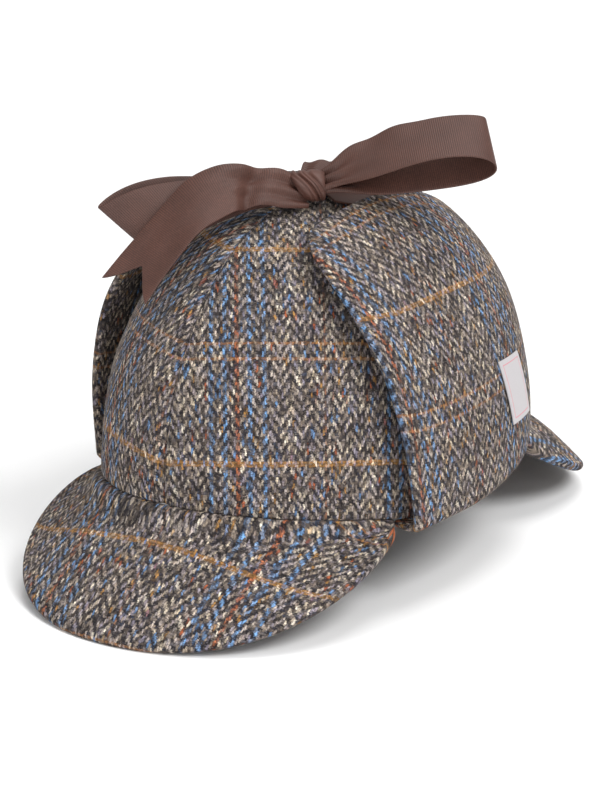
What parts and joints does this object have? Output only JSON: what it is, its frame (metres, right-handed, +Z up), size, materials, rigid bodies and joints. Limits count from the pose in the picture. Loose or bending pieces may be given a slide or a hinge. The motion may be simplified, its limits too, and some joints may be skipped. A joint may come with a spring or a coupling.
{
  "type": "deerstalker hat",
  "caption": "Deerstalker cap in wool tweed with a rounded crown, front and back peaks, and ear flaps tied up over the crown with a ribbon bow",
  "frame": {"origin": "centre of the bounding box on the floor the peaks rest on", "axes": "+Z up, -Y the way the wearer faces, +X the wearer's left"},
  "size_m": [0.17, 0.307, 0.1906],
  "materials": {
    "tweed": "matt wool tweed, herringbone with an overcheck",
    "ribbon": "matt ribbed grosgrain",
    "label": "matt woven cotton"
  },
  "bodies": {
    "root": {"crown_panel_front_left": "tweed", "crown_panel_front_right": "tweed", "crown_panel_back_left": "tweed", "crown_panel_back_right": "tweed", "front_peak": "tweed", "back_peak": "tweed", "ear_flap_left": "tweed", "ear_flap_right": "tweed", "ribbon_tie_left": "ribbon", "ribbon_tie_right": "ribbon", "ribbon_knot": "ribbon", "ribbon_loop_left": "ribbon", "ribbon_loop_right": "ribbon", "ribbon_tail_front": "ribbon", "ribbon_tail_back": "ribbon", "label": "label"}
  },
  "joints": []
}
